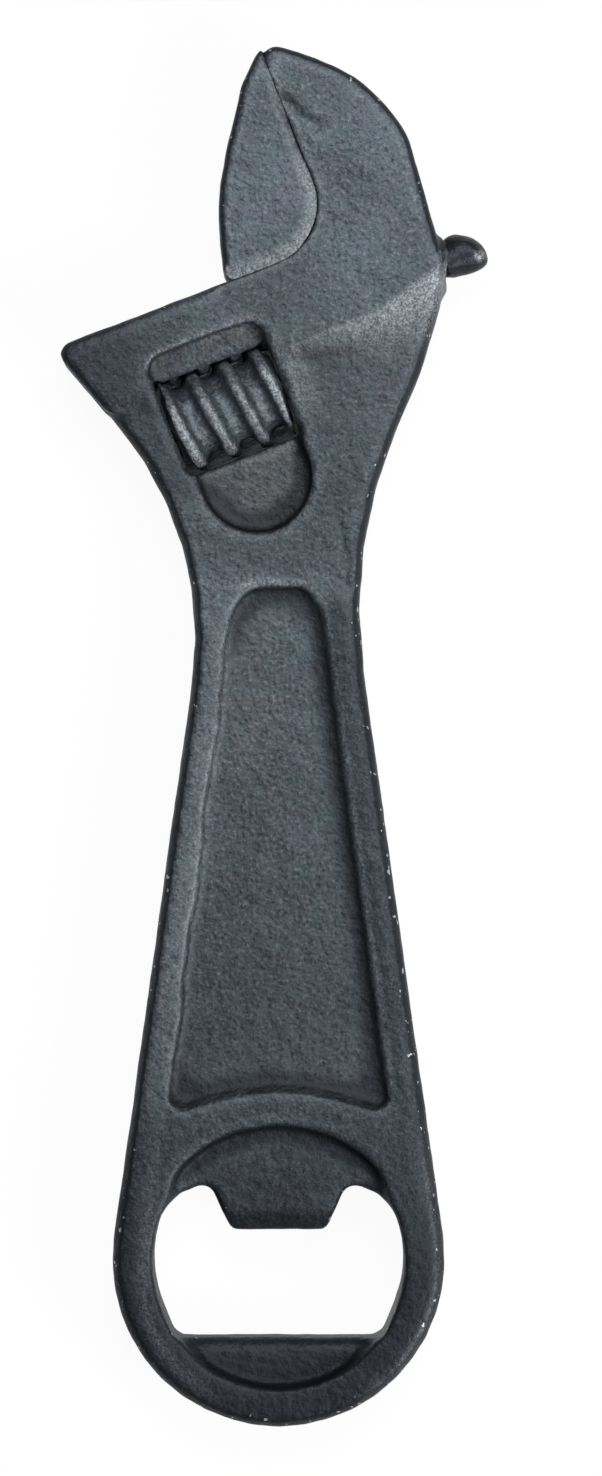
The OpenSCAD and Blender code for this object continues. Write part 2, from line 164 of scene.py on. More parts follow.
# How strong the painted highlight is at each place
PAINTED_HIGHLIGHT = {
    "slope": 0.75,
    "ledge lip": 0.3,
    "left wall": 0.18,
    "pocket": 0.2,
    "over panel": 0.35,
    "beside worm": 0.25,
    "ring crest": 0.17,
    "ring edge": 0.15,
    "rack": 0.1,
    "jaw edge": 0.5,
    "rail tip": 1.3,
    "thread root": 0.12,
    "thread crest": 0.6,
}

# Share of the thread's painted highlight at the worm's middle, and how much less it is under the
# ledge
HIGHLIGHT_MIDDLE = 0.4
SHELTERED = 0.75

# How much dust lies on the panel's floor
DUST = {
    "upper left": 0.4,
    "lower end": 0.5,
}

# How far each place's walls and hollows are kept free of painted shade
CALM = {
    "left wall": 0.7,
    "left foot": 0.9,
    "pocket": 0.85,
    "rail end": 0.5,
    "rack": 0.9,
    "worm": 0.9,
}

# How dark the painted shade is at each place
PAINTED_SHADE = {
    "left rim": 0.24,
    "right rim": 0.64,
    "panel": 0.2,
    "low panel": 0.3,
    "neck": 0.37,
    "wing": 0.25,
    "wing tip": 0.46,
    "ring": 0.9,
    "ring right": 0.04,
    "ledge foot": 0.55,
    "ledge": 0.3,
    "rail end": 0.95,
    "rack": 0.6,
}

# Sizes of the finish's patterns in metres, and the share of each layer in the iron's colour
MOTTLE_SIZE = 0.011
CLOUD_SIZE = 0.0032
FILM_SIZE = 0.0022
TURNING_SIZE = 0.00018
IRON_BUMP = 0.00016
STEEL_BUMP = 0.00002
# The sides' share is painted shade, the share for the rims of edges a painted highlight, and the
# last share chipped spots with painted glints
SHARE = {
    "patches": 0.45,
    "dust": 0.8,
    "sides": 0.75,
    "pits": 0.62,
    "bright grains": 0.32,
    "lit_lips": 0.2,
    "chips_and_glints": 0.62,
}

# Lamps: name, place, aim, size and power
LAMPS = (
    ("key", (0.40, -0.24, 0.36), (0, 0, 0), (0.28, 0.28), 3.1),
    ("top", (0.06, 0.30, 0.60), (0, 0.05, 0), (0.40, 0.30), 3.3),
)
SKY = (0.92, 0.95, 1.0, 1.0)
SKY_STRENGTH = 0.18
TABLE_SIZE = 6
TABLE_Z = -0.0002
TABLE_COLOUR = (0.86, 0.86, 0.86, 1.0)
TABLE_GLOW = 0.95
CAMERA_OVER = (0.0034, -0.0001)
SEEN_HEIGHT = 0.1936
SENSOR_HEIGHT = 36
LENS = 135


def tint(label, use, colour):
    """A colour that can be set in the panel."""
    return FloatVectorProperty(
        name=label, description=use, subtype="COLOR", size=3, default=colour
    )


def length(label, use, metres):
    """A small length that can be set in the panel."""
    return FloatProperty(name=label, description=use, default=metres, unit="LENGTH", precision=5)


class WrenchShape(bpy.types.PropertyGroup):
    """Sizes of the casting's soft relief."""

    voxel: length("Cell", "Cell of the mesh that stands for the big casting", 0.00045)
    fine_voxel: length("Fine cell", "Cell of the meshes of the jaw and the worm", 0.00026)
    rounding: IntProperty(
        name="Rounding", description="Passes of smoothing that round the casting's edges", default=7
    )
    lumps: length("Lumps", "Height of the wide lumps of the sand mould", 0.00016)
    crumbs: length("Crumbs", "Height of the narrow lumps of the sand mould", 0.00007)


class WrenchFinish(bpy.types.PropertyGroup):
    """Colours of the iron with its painted shade and highlights, of the steel, and the grain of the
    casting.
    """

    slate: tint("Slate", "Main colour of the iron", (0.078, 0.104, 0.118))
    violet: tint("Violet", "Second tint of the iron", (0.086, 0.098, 0.119))
    shade: tint("Shade", "Darker patches of the iron", (0.040, 0.047, 0.058))
    # Colour of the painted shade
    shade_tone: tint("Shade tone", "Painted shade, darkest on the ring", (0.0155, 0.018, 0.0225))
    rust: tint("Rust", "Brownish dust in the hollows", (0.126, 0.121, 0.116))
    # Colour of the bright grains and of the painted highlights
    worn_and_highlight: tint("Worn and highlight", "Bright grains and painted highlights", (0.33, 0.35, 0.38))
    # Colour of the painted shade on the sides and in the corners, and of the grain's pits
    shade_and_pits: tint("Shade and pits", "Painted shade on the sides and in the tight corners, and the grain's pits", (0.014, 0.016, 0.020))
    # Colour of the chipped spots and of their painted glints
    bare: tint("Bare", "Bright iron of chipped spots and painted glints", (0.62, 0.62, 0.62))
    steel: tint("Steel", "Turned steel of the pin and the spring", (0.36, 0.36, 0.37))
    grain: length("Grain", "Size of the sand's grain", 0.0005)


class Value:
    """A number on the surface. Arithmetic on it adds Math nodes."""

    def __init__(self, finish, socket):
        self.finish = finish
        self.socket = socket

    def math(self, operation, *others):
        inputs = dict(enumerate((self, *others)))
        return self.finish.node("ShaderNodeMath", {"operation": operation}, inputs)

    def __add__(self, other):
        return self.math("ADD", other)

    def __sub__(self, other):
        return self.math("SUBTRACT", other)

    def __mul__(self, other):
        return self.math("MULTIPLY", other)

    def __rsub__(self, other):
        return self.finish.node("ShaderNodeMath", {"operation": "SUBTRACT"}, {0: other, 1: self})

    __radd__ = __add__
    __rmul__ = __mul__

    def between(self, low, high):
        """0 at low, 1 at high, and a smooth change from one to the other."""
        return self.finish.node(
            "ShaderNodeMapRange",
            {"interpolation_type": "SMOOTHSTEP"},
            {"Value": self, "From Min": low, "From Max": high},
        )


class Finish:
    """A material under construction, with one shader on its output."""

    def __init__(self, name):
        self.material = bpy.data.materials.new(name)
        self.material.use_nodes = True
        self.tree = self.material.node_tree
        self.tree.nodes.clear()
        self.out = self.tree.nodes.new("ShaderNodeOutputMaterial")

    def put(self, socket, value):
        if isinstance(value, Value):
            self.tree.links.new(value.socket, socket)
        else:
            socket.default_value = value

    def node(self, kind, settings, inputs, output=0):
        made = self.tree.nodes.new(kind)
        for key, value in settings.items():
            setattr(made, key, value)
        for key, value in inputs.items():
            self.put(made.inputs[key], value)
        return Value(self, made.outputs[output])

    def noise(self, size, detail=2.0, roughness=0.5):
        place = self.node("ShaderNodeTexCoord", {}, {}, "Object")
        inputs = {"Vector": place, "Scale": 1 / size, "Detail": detail, "Roughness": roughness}
        return self.node("ShaderNodeTexNoise", {}, inputs)

    def marked(self, name):
        """A number that the mesh carries at each of its points."""
        return self.node("ShaderNodeAttribute", {"attribute_name": name}, {}, "Fac")

    def mix(self, share, first, second):
        """A share of the second colour over the first one."""
        colours = [c if isinstance(c, Value) else (*c, 1.0) for c in (first, second)]
        inputs = {0: share, 6: colours[0], 7: colours[1]}
        return self.node("ShaderNodeMix", {"data_type": "RGBA"}, inputs, 2)

    def bump(self, height, distance):
        inputs = {"Strength": 1.0, "Distance": distance, "Height": height}
        return self.node("ShaderNodeBump", {}, inputs)

    def shade(self, **inputs):
        named = {key.replace("_", " "): value for key, value in inputs.items()}
        shader = self.node("ShaderNodeBsdfPrincipled", {}, named)
        self.put(self.out.inputs["Surface"], shader)
        return self.material


def cast_iron(name, look, shade_and_pits=0.75):
    """Dark sand-cast iron: dust in its hollows, painted shade in its corners and on its sides,
    painted highlights on slopes and edges, and small chipped spots with painted glints.
    """
    iron = Finish(name)
    mottle = iron.noise(MOTTLE_SIZE, 4.0, 0.6)
    cloud = iron.noise(CLOUD_SIZE, 3.0)
    grain = iron.noise(look.grain, 2.5, 0.6)
    crumb = iron.noise(look.grain * 2.6, 2.0)
    fleck = iron.noise(look.grain * 0.6, 3.0, 0.7)
    speck = iron.noise(look.grain * 1.7, 1.0)
    hollow = iron.marked("hollow")
    edge = iron.marked("edge")
    side = iron.marked("side")
    painted_shade = iron.marked("painted_shade")

    # The skin's own tints, then dust and painted shade
    skin = iron.mix(cloud.between(0.35, 0.65), look.slate, look.violet)
    skin = iron.mix(mottle.between(0.62, 0.36) * SHARE["patches"], skin, look.shade)
    dusty = iron.marked("dust") * crumb.between(0.3, 0.65) * SHARE["dust"]
    skin = iron.mix(dusty, skin, look.rust)
    skin = iron.mix(painted_shade, skin, look.shade_tone)

    # Painted shade in the corners and on the sides, and dark pits between the grains
    skin = iron.mix(hollow.between(0.2, 1.0) * shade_and_pits, skin, look.shade_and_pits)
    turned = side.between(0.16, 0.5) * (1 - 0.65 * side.between(0.84, 0.96))
    skin = iron.mix(turned * SHARE["sides"], skin, look.shade_and_pits)
    skin = iron.mix(grain.between(0.47, 0.32) * SHARE["pits"], skin, look.shade_and_pits)

    # Bright grains, painted highlights, and chipped spots with painted glints along the outer edges
    open_skin = (1 - painted_shade) * (1 - turned) * (1 - hollow.between(0.1, 0.6))
    bright = grain.between(0.53, 0.72) * SHARE["bright grains"]
    skin = iron.mix(bright * open_skin, skin, look.worn_and_highlight)
    # Painted highlights: on the marked places and along the rims of edges, broken up by flecks
    lit_lips = edge.between(0.1, 0.5) * (1 - side.between(0.0, 0.15)) * (1 - painted_shade)
    highlight_amount = iron.marked("painted_highlight") + lit_lips * SHARE["lit_lips"]
    highlight_amount *= 0.2 + 0.8 * fleck.between(0.42, 0.62)
    skin = iron.mix(highlight_amount, skin, look.worn_and_highlight)
    # Chipped spots gather on the handle's right-facing edges, where the light falls, so they are
    # partly painted glints
    spots = (speck + iron.marked("lit_side") * 0.05).between(0.72, 0.75)
    chips_and_glints = edge.between(0.3, 0.7) * side.between(0.1, 0.3) * spots
    skin = iron.mix(chips_and_glints * SHARE["chips_and_glints"], skin, look.bare)

    # Where the painted shade is deepest, the skin is smoother and glossier
    deep_shade = painted_shade.between(0.92, 1.0)
    height = (grain * 0.5 + crumb * 1.5) * (1 - 0.85 * deep_shade)
    return iron.shade(
        Base_Color=skin,
        Metallic=0.8 - 0.6 * highlight_amount,
        Roughness=0.56 + (grain - 0.5) * 0.3 - deep_shade * 0.32,
        Normal=iron.bump(height, IRON_BUMP),
    )


def turned_steel(name, look):
    """Plain steel with fine turning marks and a thin dull film."""
    steel = Finish(name)
    film = steel.noise(FILM_SIZE, 3.0)
    marks = steel.noise(TURNING_SIZE, 1.0)
    dull = tuple(0.55 * c for c in look.steel)
    return steel.shade(
        Base_Color=steel.mix(film.between(0.35, 0.7), look.steel, dull),
        Metallic=1.0,
        Roughness=0.34 + film * 0.2,
        Normal=steel.bump(marks, STEEL_BUMP),
    )


def table_top(name):
    """White table that keeps a faint shadow."""
    white = Finish(name)
    path = white.tree.nodes.new("ShaderNodeLightPath")
    camera, glossy, through = (
        Value(white, path.outputs[f"Is {kind} Ray"]) for kind in ("Camera", "Glossy", "Transmission")
    )
    seen = camera.math("MAXIMUM", glossy).math("MAXIMUM", through)
    lit = white.node("ShaderNodeBsdfDiffuse", {}, {"Color": TABLE_COLOUR})
    glow = white.node("ShaderNodeEmission", {}, {"Color": (1.0, 1.0, 1.0, 1.0), "Strength": 1.0})
    surface = white.node("ShaderNodeMixShader", {}, {0: seen * TABLE_GLOW, 1: lit, 2: glow})
    white.put(white.out.inputs["Surface"], surface)
    return white.material


def pick_only(piece):
    bpy.ops.object.select_all(action="DESELECT")
    piece.select_set(True)
    bpy.context.view_layer.objects.active = piece


def copy_of(node, name):
    """A new piece with a merged copy of a node's mesh."""
    piece = bpy.data.objects.new(name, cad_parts[node].data.copy())
    bpy.context.scene.collection.objects.link(piece)
    piece.data.materials.clear()
    pick_only(piece)
    bpy.ops.object.mode_set(mode="EDIT")
    bpy.ops.mesh.select_all(action="SELECT")
    bpy.ops.mesh.remove_doubles(threshold=MERGE_DISTANCE)
    bpy.ops.object.mode_set(mode="OBJECT")
    bpy.ops.mesh.customdata_custom_splitnormals_clear()
    return piece


def apply(piece, kind, **settings):
    """Adds a modifier with these settings and applies it."""
    pick_only(piece)
    modifier = piece.modifiers.new(kind.title(), kind)
    for key, value in settings.items():
        setattr(modifier, key, value)
    bpy.ops.object.modifier_apply(modifier=modifier.name)


def remesh(piece, cell):
    apply(piece, "REMESH", mode="VOXEL", voxel_size=cell)


def paint_group(piece, name, weights):
    """A vertex group with one weight for each point, in steps of a sixteenth."""
    group = piece.vertex_groups.new(name=name)
    steps = np.round(np.clip(weights, 0, 1) * WEIGHT_STEPS).astype(int)
    for step in range(1, WEIGHT_STEPS + 1):
        picked = np.nonzero(steps == step)[0].tolist()
        if picked:
            group.add(picked, step / WEIGHT_STEPS, "REPLACE")
    return group.name


def melt(piece, group, weights, passes):
    """Smooths a piece by these weights and returns the name of their vertex group."""
    name = paint_group(piece, group, weights)
    apply(piece, "SMOOTH", factor=0.5, iterations=passes, vertex_group=name)
    return name


def press_lumps(piece, label, sizes, heights, level, group):
    """Gives the group's points the lumps and crumbs of a sand mould."""
    for kind, size, height in zip(("lumps", "crumbs"), sizes, heights):
        texture = bpy.data.textures.new(f"{label} {kind}", "CLOUDS")
        texture.noise_scale = size
        texture.noise_depth = 1
        apply(
            piece, "DISPLACE", texture=texture, texture_coords="LOCAL",
            strength=height, mid_level=level, vertex_group=group,
        )


def rows_of(piece, name):
    """Three numbers of each of the mesh's points, one row each."""
    flat = np.empty(len(piece.data.vertices) * 3)
    piece.data.vertices.foreach_get(name, flat)
    return flat.reshape(-1, 3)


def points_of(piece):
    """The mesh's points in millimetres."""
    return rows_of(piece, "co") / MM


def normals_of(piece):
    return rows_of(piece, "normal")


def move_to(piece, points):
    piece.data.vertices.foreach_set("co", (points * MM).ravel())
    piece.data.update()


def store(piece, name, values):
    """Gives each point of the mesh a number between 0 and 1, which the finish reads."""
    layer = piece.data.attributes.new(name, "FLOAT", "POINT")
    layer.data.foreach_set("value", np.clip(values, 0, 1).astype(np.float32))


def ramp(values, low, high):
    """0 below low, 1 above high, and a smooth rise from one to the other."""
    share = np.clip((values - low) / (high - low), 0, 1)
    return share * share * (3 - 2 * share)


def fade(values, low, high):
    """1 below low, 0 above high, and a smooth fall from one to the other."""
    return 1 - ramp(values, low, high)


def band(values, rise, fall):
    """1 between two ranges, 0 outside them, with a smooth change over each."""
    return ramp(values, *rise) * fade(values, *fall)


def bell(values, width):
    """1 at zero, with a smooth fall on both sides."""
    return np.exp(-((values / width) ** 2))


def spot(along, up, middle, spread):
    """1 at one place of the head, with a smooth fall all around."""
    return np.exp(-((along - middle[0]) ** 2 + (up - middle[1]) ** 2) / spread)


def unit(rows):
    """Each row as a direction of length 1."""
    return rows / np.maximum(np.linalg.norm(rows, axis=1, keepdims=True), TINY)


def in_head(points):
    """Distance along the shoulder and up from it, for each point."""
    x = points[:, 0] - CORNER[0]
    y = points[:, 1] - CORNER[1]
    return (
        x * math.cos(JAW_ANGLE) + y * math.sin(JAW_ANGLE),
        y * math.cos(JAW_ANGLE) - x * math.sin(JAW_ANGLE),
    )


def to_part(steps):
    """Steps along the shoulder and up from it, turned into the part's own frame."""
    cos = math.cos(JAW_ANGLE)
    sin = math.sin(JAW_ANGLE)
    x = steps[:, 0] * cos - steps[:, 1] * sin
    y = steps[:, 0] * sin + steps[:, 1] * cos
    return np.stack((x, y), axis=1)


def half_width(y):
    """Half the width of the handle at each y."""
    return RING_R / math.cos(SIDE_LEAN) - (y - RING[1]) * math.tan(SIDE_LEAN)


def edge_inset(x, y):
    """Distance from the outline of the handle and the ring, with x from the ring's middle."""
    past_ring = y - RING[1]
    beside = (half_width(y) - np.abs(x)) * math.cos(SIDE_LEAN)
    around = RING_R - np.hypot(x, past_ring)
    return np.where(past_ring > RING_R * math.sin(SIDE_LEAN), beside, around)


def outward(points):
    """Direction from the tool's middle line to each point, seen from the front."""
    y = points[:, 1]
    bend = np.clip((y - NECK_Y) / (HEAD_MIDDLE[1] - NECK_Y), 0, 1)
    x_mid = RING[0] + (HEAD_MIDDLE[0] - RING[0]) * bend
    y_mid = np.clip(y, RING[1], HEAD_MIDDLE[1])
    return unit(np.stack((points[:, 0] - x_mid, y - y_mid), axis=1))


def off_line(along, up, corners):
    """Distance of each point from a bent line."""
    best = np.full(len(along), np.inf)
    for (start_along, start_up), (end_along, end_up) in zip(corners, corners[1:]):
        run = end_along - start_along
        rise = end_up - start_up
        past = (along - start_along) * run + (up - start_up) * rise
        share = np.clip(past / (run * run + rise * rise), 0, 1)
        off = np.hypot(along - start_along - share * run, up - start_up - share * rise)
        best = np.minimum(best, off)
    return best


def seam_distance(along, up):
    """How far a point is on the fixed jaw's side of the seam between the jaws."""
    corner = np.hypot(along + THROAT_R, up - THROAT_R) - THROAT_R
    straight = np.where(up > THROAT_R, along, -up)
    return np.where((along > -THROAT_R) & (up < THROAT_R), corner, straight)


def across_seam(along, up):
    """Direction from the sliding jaw to the fixed side, along the shoulder and up from it."""
    from_throat = (np.clip(along + THROAT_R, 0, None), np.clip(up - THROAT_R, None, 0))
    return unit(np.stack(from_throat, axis=1))


def beside_seam(along, up, face):
    """1 on the faces beside the seam, 0 elsewhere and at the tips."""
    near = fade(np.abs(seam_distance(along, up)), *SEAM_WIDTH)
    return near * (face > HEAD_H - 1.3) * fade(up, *SEAM_TIP)


def on_rack(along, up):
    """True on the stretch of the rail that carries the rack."""
    return (up < -3.5) & (along < 0)


def near_fits(points):
    """1 on the walls that other pieces run in, 0 away from them."""
    along, up = in_head(points)
    z = points[:, 2] - MID_Z
    rail = np.abs(np.hypot(up + RAIL_DROP, z) - RAIL_BORE)
    in_slot = (up > -RAIL_DROP) & (along < SLOT_END + 0.6)
    slot = np.where(in_slot, np.maximum(np.abs(z) - SLOT_HALF, 0), np.inf)
    pin = np.abs(np.hypot(up + WORM_DROP, z) - PIN_BORE)
    return fade(np.minimum.reduce((rail, slot, pin)), 0.15, 0.9)


def near_rims(points):
    """1 around the rail's outer end, where the casting is softest, and less on the pocket's rims."""
    along, up = in_head(points)
    z = points[:, 2] - MID_Z
    pocket = fade(np.abs(along - WORM_MID), 8.8, 10.5) * band(up, (-34, -33), (-5.4, -4.4))
    boss = ramp(along, 9.5, 11) * fade(np.hypot(up + RAIL_DROP, z), 4.8, 6.2)
    return np.maximum(0.3 * pocket * ramp(z, 3.4, 4.2), boss)


def in_pocket(points):
    """1 in the worm's pocket and on its ledge, 0 elsewhere."""
    along, up = in_head(points)
    ends = fade(np.abs(along - WORM_MID), WORM_HALF + 0.1, WORM_HALF + 0.5)
    return ends * band(up, (-21.4, -20.2), (-5.8, -5.4)) * (points[:, 2] > MID_Z - 4)


def in_hollows(points):
    """1 over the sunk panel and the dish, 0 on the outer edges of the handle."""
    x = points[:, 0] - RING[0]
    y = points[:, 1]
    panel = fade(np.abs(x) - half_width(y), -3, -1.2) * band(y, (-54, -51), (24, 28))
    dish = fade(np.hypot(x, y - RING[1]), 18.6, 20)
    return np.maximum(panel, dish) * ramp(np.abs(points[:, 2] - MID_Z), 2.2, 3)


def widen_hollows(piece):
    """Moves the walls of the sunk panel and of the dish outwards and makes them steeper."""
    points = points_of(piece)
    normals = normals_of(piece)
    x = points[:, 0] - RING[0]
    y = points[:, 1] - RING[1]
    face = np.abs(points[:, 2] - MID_Z)
    out = unit(-normals[:, :2])
    on_wall = (np.linalg.norm(normals[:, :2], axis=1) > 0.02) & (face < NECK_H + 0.01)

    # The panel's walls move along their normals, less so at the upper corners
    panel = on_wall & (face > PANEL_H - SLACK) & (y > 19) & (y < 89)
    panel &= np.abs(x) < half_width(points[:, 1]) - 2.2
    sunk = (NECK_H - face) / (NECK_H - PANEL_H)
    held = HELD_LEFT * ramp(-out[:, 0], 0.3, 0.8) + HELD_RIGHT * ramp(out[:, 0], 0.3, 0.8)
    moved = PANEL_OUT + PANEL_STEEPER * sunk * (out[:, 1] > -0.5)
    step = np.where(panel, moved * (1 - ramp(y, 74, 81) * held), 0)

    # The dish's walls move away from the ring's middle
    from_ring = np.hypot(x, y)
    dish = on_wall & (face > DISH_H - SLACK) & (from_ring > 15.2) & (from_ring < 17.1)
    out = np.where(dish[:, None], unit(np.stack((x, y), axis=1)), out)
    sunk = (NECK_H - face) / (NECK_H - DISH_H)
    upper = ramp(y, 8, 11) * (DISH_OUT + DISH_STEEPER * sunk)
    lower = ramp(-y, 11.5, 13.5) * (DISH_LOW_OUT + DISH_STEEPER * sunk)
    step = np.where(dish, upper + lower, step)
    points[:, :2] += step[:, None] * out
    move_to(piece, points)


def mark_relief(piece, near, far, depth, calm):
    """Stores how far each point stands out of its near surroundings or lies below its far ones.

    The surroundings are the mesh after near or far passes of smoothing. Where calm is 1,
    walls and hollows stay as light as the rest.
    """
    mesh = piece.data
    edges = np.empty(len(mesh.edges) * 2, dtype=np.int64)
    mesh.edges.foreach_get("vertices", edges)
    start, end = edges.reshape(-1, 2).T
    count = len(mesh.vertices)
    share = np.bincount(start, minlength=count) + np.bincount(end, minlength=count)
    points = points_of(piece)
    normals = normals_of(piece)
    smooth = points.copy()
    for done in range(1, far + 1):
        for axis in range(3):
            column = smooth[:, axis]
            total = np.bincount(start, column[end], count) + np.bincount(end, column[start], count)
            smooth[:, axis] = total / np.maximum(share, 1)
        if done == near:
            store(piece, "edge", ((points - smooth) * normals).sum(axis=1) / depth)
    # The hollow mark sets painted shade in corners and recesses
    store(piece, "hollow", ((smooth - points) * normals).sum(axis=1) / depth * (1 - calm))
    # The side mark sets painted shade on steep and outward-facing walls
    steep = ramp(1 - np.abs(normals[:, 2]), 0.55, 0.9)
    side = np.maximum((outward(points) * normals[:, :2]).sum(axis=1), 0.8 * steep)
    store(piece, "side", side * (1 - calm))


def finish_piece(piece, material, body, node):
    piece.data.materials.append(material)
    pick_only(piece)
    bpy.ops.object.shade_smooth()
    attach(piece, body)
    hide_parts(node)


class Skin:
    """A piece's points in millimetres, for its soft forms to move.

    Along, up, front and face say where each point was before any move. A pair of numbers in
    ramp, fade or band is a range in millimetres of the value before it.
    """

    def __init__(self, piece):
        self.piece = piece
        self.points = points_of(piece)
        self.along, self.up = in_head(self.points)
        self.front = self.points[:, 2] > MID_Z
        self.face = np.abs(self.points[:, 2] - MID_Z)
        self.lift = np.zeros(len(self.points))

    def slide(self, steps, heading):
        """Moves the points in the plane of the faces, along a heading in the head's axes."""
        self.points[:, :2] += to_part(steps[:, None] * heading)

    def place(self):
        """Lifts the points off the middle plane and hands them to the mesh."""
        self.points[:, 2] += np.where(self.front, self.lift, -self.lift)
        move_to(self.piece, self.points)


class BodySkin(Skin):
    """The soft forms of the cast body, and the marks that its finish reads."""

    def __init__(self, piece):
        super().__init__(piece)
        self.x = self.points[:, 0] - RING[0]
        self.y = self.points[:, 1].copy()
        self.half = half_width(self.y)
        self.inset = edge_inset(self.x, self.y)
        self.from_worm = np.abs(self.along - WORM_MID)

        # The slope below the head: how far below its upper edge a point lies, and its length
        foot = -PLATE_FOOT + FOOT_SLOPE * np.maximum(self.along - FOOT_BEND, 0)
        self.below = foot - self.up
        self.wide = ramp(self.along, *SLOPE_WIDENS)
        self.run = SLOPE_RUN + SLOPE_WIDER * self.wide

        # The ledge's foot over the rack, the ledge itself, the panel's floor and its left wall
        self.ledge_foot = ramp(-self.up, 6.9, 8.2) * ramp(self.face, 3.5, 4.5)
        self.ledge_foot *= fade(self.from_worm, WORM_HALF - 1.2, WORM_HALF - 0.1)
        self.ledge_foot *= self.front & (self.up > -8.7)
        self.on_ledge = self.front & (self.from_worm < 8) & (self.face < HEAD_H - 0.5)
        self.on_ledge &= (self.up > -7.6) & (self.up < -5.9)
        self.in_panel = self.front & (self.face < NECK_H - 0.9)
        self.in_panel &= (self.y > -47) & (self.y < NECK_Y)
        self.left = self.front & (self.x < 0)
        self.left_wall = bell(np.abs(self.x) - self.half + 4.1, 1.5) * self.left
        self.left_wall *= band(self.y, (-50, -46), (10, 17))

    def settle(self):
        """Gives the casting its soft forms."""
        self.slope_to_neck()
        self.dip_to_seam()
        self.curve_back()
        self.draw_boss_back()
        self.fit_ends()
        self.arch_ledge()
        self.crown_rims()
        self.crown_edges()
        self.bend_left_wall()
        self.score_creases()
        self.place()

    def slope_to_neck(self):
        """A slope runs from the head's face down to the neck, wide on the fixed jaw's side."""
        left_over = (1 - np.clip(self.below / self.run, 0, 1)) ** 2
        wanted = NECK_H + (HEAD_H - NECK_H) * left_over
        on_neck = (np.abs(self.face - NECK_H) < 0.35) & (self.below > -0.3)
        on_round = (self.face > NECK_H) & (self.face < HEAD_H) & (np.abs(self.below) < 1.4)
        share = np.where(on_neck, 1, np.where(on_round, self.wide, 0))
        self.lift += share * np.maximum(wanted - self.face, 0)

    def dip_to_seam(self):
        """The fixed side runs down to the seam.

        The dip is wide and shallow on the lower stretch. It is narrow on the upper one, where
        the edge has a lip over the jaw.
        """
        seam = seam_distance(self.along, self.up)
        upper = ramp(self.up, *UPPER_SEAM)
        on_top = (self.face > HEAD_H - EDGE_R - SLACK) & (seam > -0.2) & (self.along > -17)
        at_edge = on_top & (seam < EDGE_R + 0.1)
        self.lift += np.where(at_edge, HEAD_H - self.face, 0) * fade(self.up, 24, 26)
        shallow = (1 - upper) * fade(seam, 0, 8)
        narrow = NARROW_DIP * upper * fade(seam, 0, 2.6) * fade(self.up, 18, 22)
        self.lift -= np.where(on_top, SEAM_DIP * (shallow + narrow), 0)
        lip = np.where(at_edge, LIP * upper * fade(seam, 0, 0.9), 0)
        self.slide(-lip, across_seam(self.along, self.up))

    def curve_back(self):
        """The fixed jaw's back is one soft curve."""
        push = BACK_FULLER * spot(self.along, self.up, (10, 18.1), 14)
        push -= BACK_FLATTER * spot(self.along, self.up, (13.4, 11.8), 5)
        self.slide(push, BACK)

    def draw_boss_back(self):
        """The boss around the rail runs back into the flank below."""
        low = ramp(-self.up - RAIL_DROP, -1.5, 2.5)
        low *= np.hypot(self.up + RAIL_DROP, self.face) < 5.5
        push = -BOSS_TAPER * low * np.maximum(self.along - BOSS_START, 0)
        push -= BOSS_GROOVE * bell(self.up + 11.6, 0.9) * ramp(self.along, 9.2, 10.6)
        self.slide(push, ALONG)

    def fit_ends(self):
        """The pocket's ends close in on the worm, and the slot's end keeps clear of the web."""
        at_end = self.front & (np.abs(self.from_worm - WORM_HALF) < 0.5)
        at_end &= (self.up < -8) & (self.up > -22.2)
        closed = END_CLOSE * at_end * ramp(self.face, 3, 4.5)
        at_slot = fade(np.abs(self.along - SLOT_END), 0.5, 1.5)
        at_slot *= fade(self.face, SLOT_HALF + 0.1, SLOT_HALF + 0.9)
        at_slot *= self.up > -RAIL_DROP - RAIL_BORE
        self.slide(SLOT_RELIEF * at_slot - closed * np.sign(self.along - WORM_MID), ALONG)

    def arch_ledge(self):
        """The ledge above the worm is a low arch with round ends.

        Its foot reaches out over the rack and falls towards the worm.
        """
        bend = np.clip((self.from_worm - WORM_HALF) / LEDGE_R + 1, 0, 1)
        arch = LEDGE_ARCH * (1 - (self.from_worm / WORM_HALF) ** 2)
        arch -= LEDGE_R * (1 - np.sqrt(1 - bend ** 2))
        arch *= np.clip((self.up + LEDGE_FOOT) / (LEDGE_FOOT - LEDGE_TOP), 0, 1)
        arch *= fade(self.up, -LEDGE_TOP, -LEDGE_TOP + 1.8)
        arch *= fade(self.from_worm, WORM_HALF + 0.1, WORM_HALF + 1.8)
        arch *= self.front & (self.face > 4.9)
        self.slide(arch - LEDGE_OUT * self.ledge_foot, UP)
        self.lift -= LEDGE_FALL * self.ledge_foot ** 2

    def crown_rims(self):
        """The rims beside the panel are crowned, so their inner halves fall towards it."""
        from_wall = np.clip((np.abs(self.x) - self.half + RIM_W) / RIM_W, 0, 1)
        crown = RIM_CROWN * (1 - np.clip(from_wall / RIM_FALL, 0, 1)) ** 2
        crown *= np.clip((self.face - PANEL_H) / (NECK_H - PANEL_H), 0, 1)
        crown *= (np.abs(self.x) > self.half - RIM_W - 1.6) & (self.face < NECK_H + SLACK)
        self.lift -= crown * band(self.y, (-52, -46), (15, 21))

    def crown_edges(self):
        """The handle's outer edges are crowned too, most of all around the ring."""
        crown = EDGE_CROWN * (1 - np.clip(self.inset / CROWN_W, 0, 1)) ** 2
        crown *= np.clip((self.face - 3) / (NECK_H - 3), 0, 1) * (self.face < NECK_H + SLACK)
        self.lift -= crown * (1 - 0.5 * ramp(self.y, -50, -30)) * fade(self.y, 5, 18)

    def bend_left_wall(self):
        """The panel's left wall isn't quite straight."""
        wave = sum(height * np.sin(turn * self.y + start) for height, turn, start in LEFT_WALL_WAVES)
        self.points[:, 0] += self.left_wall * wave * ramp(self.y, -44, -36)

